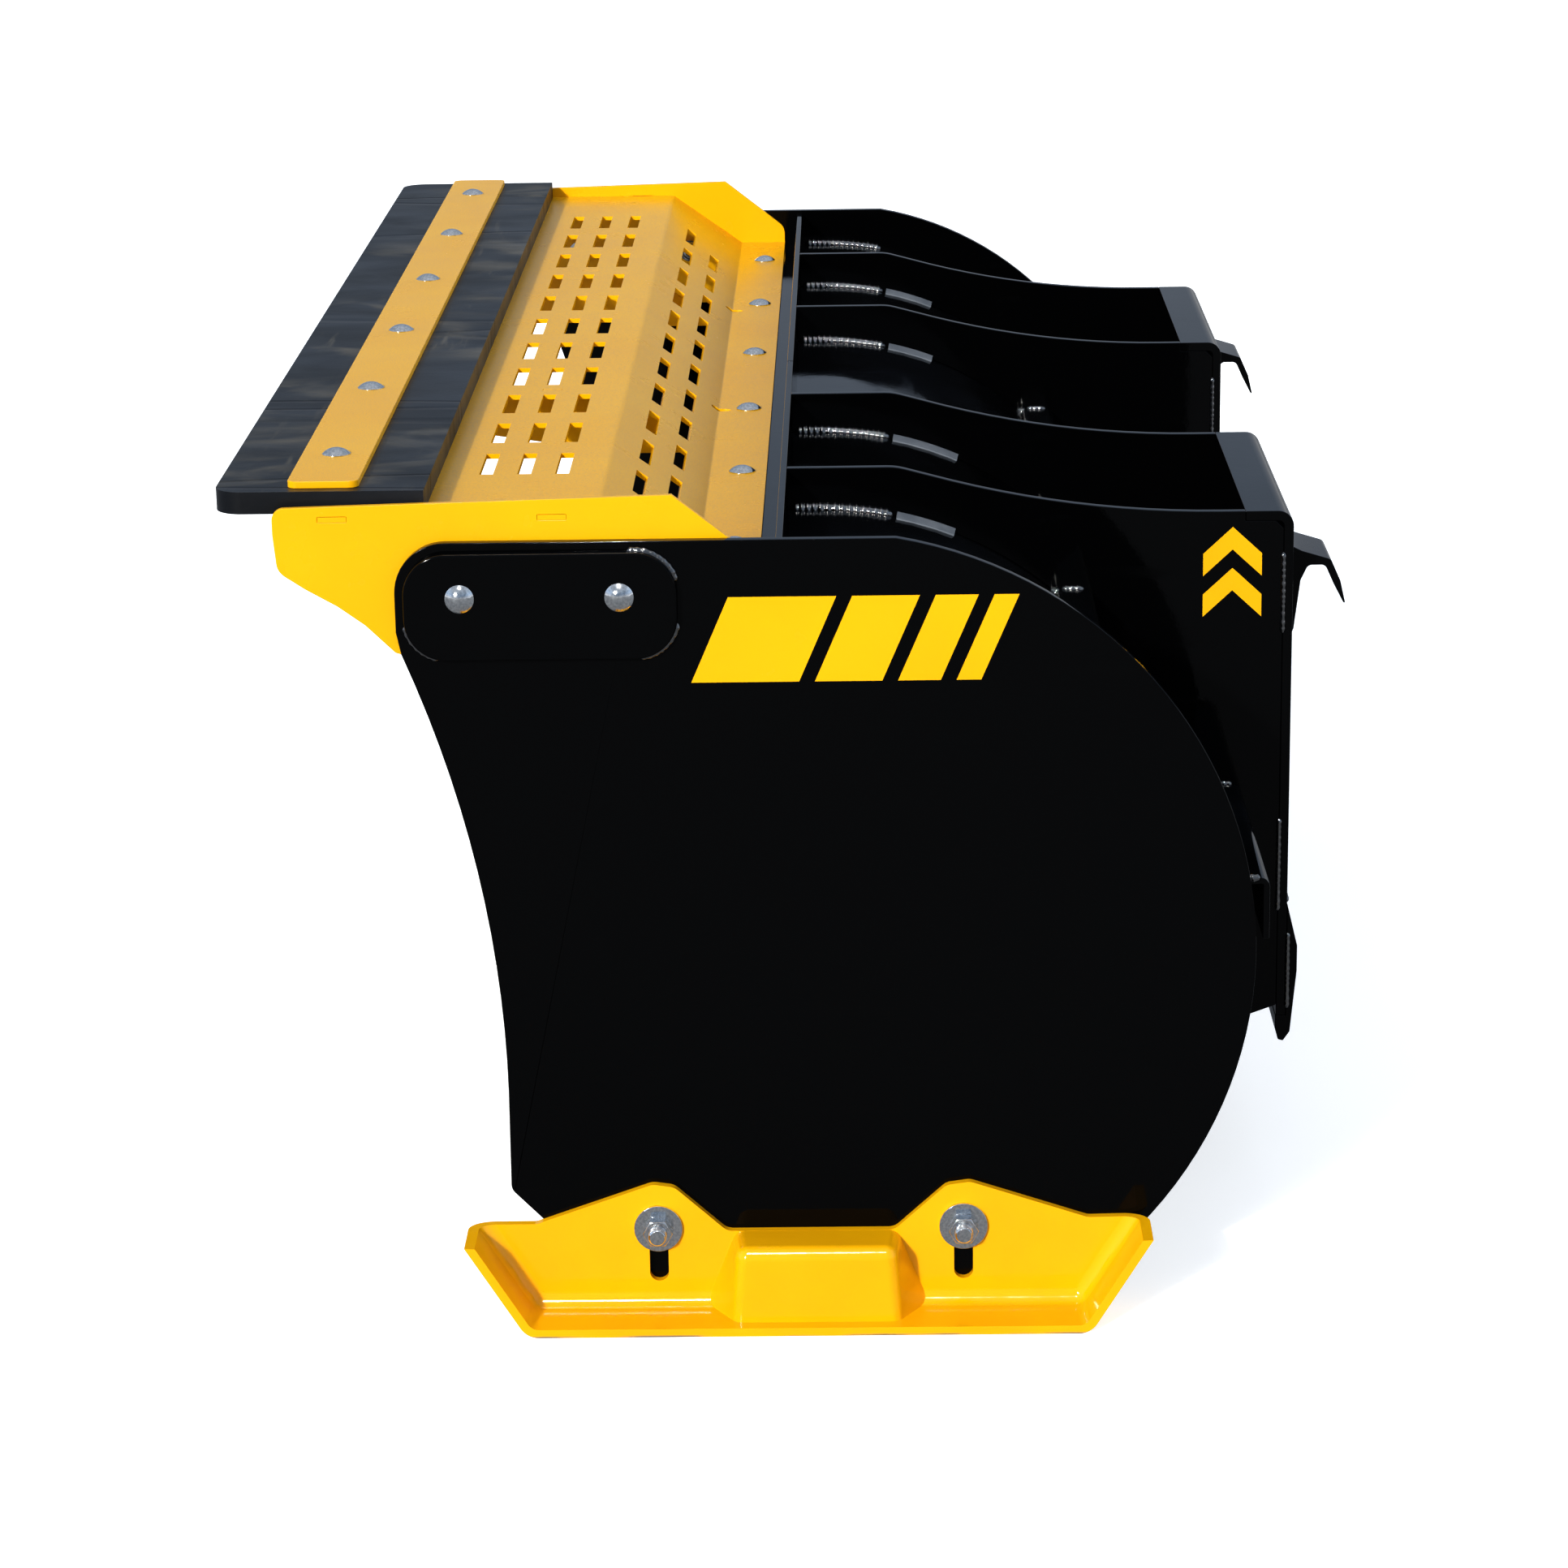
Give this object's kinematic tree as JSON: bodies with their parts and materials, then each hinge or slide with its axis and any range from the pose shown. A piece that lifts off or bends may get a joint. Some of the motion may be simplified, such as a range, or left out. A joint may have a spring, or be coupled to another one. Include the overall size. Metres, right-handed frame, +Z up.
{
  "type": "snow pusher attachment",
  "caption": "Box snow pusher for a skid steer loader: curved moldboard between end plates, skid shoes, quick-attach plates and a bolt-on back-drag panel with a rubber edge.",
  "frame": {"origin": "middle of the tool's bounding box in plan, at the underside of the skid shoes", "axes": "+X to the operator's left along the tool's width, +Y rearwards to the loader, +Z up; the mouth opens to -Y"},
  "size_m": [1.964, 1.043, 0.7862],
  "materials": {
    "frame_black": "gloss black powder coat over welded plate",
    "kit_yellow": "gloss yellow powder coat",
    "shoe_yellow": "gloss yellow powder coat on formed plate",
    "edge_rubber": "matt reinforced rubber with scuffs",
    "zinc_hardware": "bright zinc plated"
  },
  "bodies": {
    "pusher": {"cheek_bolts": "zinc_hardware", "cheek_left": "kit_yellow", "cheek_nuts": "zinc_hardware", "cheek_right": "kit_yellow", "cheek_washers": "zinc_hardware", "cutting_edge": "edge_rubber", "doubler_left": "frame_black", "doubler_right": "frame_black", "drag_bar": "kit_yellow", "drag_bar_bolts": "zinc_hardware", "drag_bar_nuts": "zinc_hardware", "drag_bar_washers": "zinc_hardware", "drag_panel": "kit_yellow", "drag_rubber": "edge_rubber", "edge_backing_bar": "frame_black", "edge_bolts": "zinc_hardware", "edge_clamp_bar": "frame_black", "edge_nuts": "zinc_hardware", "edge_washers": "zinc_hardware", "end_plate_left": "frame_black", "end_plate_right": "frame_black", "flange_bolts": "zinc_hardware", "flange_nuts": "zinc_hardware", "flange_washers": "zinc_hardware", "gusset_left": "kit_yellow", "gusset_right": "kit_yellow", "hook_lip_left": "frame_black", "hook_lip_right": "frame_black", "moldboard": "frame_black", "pin_plate_left": "frame_black", "pin_plate_right": "frame_black", "quick_attach_left": "frame_black", "quick_attach_right": "frame_black", "rib_inner_left": "frame_black", "rib_inner_right": "frame_black", "rib_outer_left": "frame_black", "rib_outer_right": "frame_black", "shoe_bolts": "zinc_hardware", "shoe_nuts": "zinc_hardware", "shoe_washers": "zinc_hardware", "stiffener_lower": "frame_black", "stiffener_upper": "frame_black", "top_rail": "frame_black"},
    "left_shoe": {"shoe_left": "shoe_yellow"},
    "right_shoe": {"shoe_right": "shoe_yellow"}
  },
  "joints": [
    {"name": "left_shoe_slide", "type": "slide", "parent": "pusher", "child": "left_shoe", "axis": [0, 0, 1], "range_m": [0, 0.043]},
    {"name": "right_shoe_slide", "type": "slide", "parent": "pusher", "child": "right_shoe", "axis": [0, 0, 1], "range_m": [0, 0.043]}
  ]
}
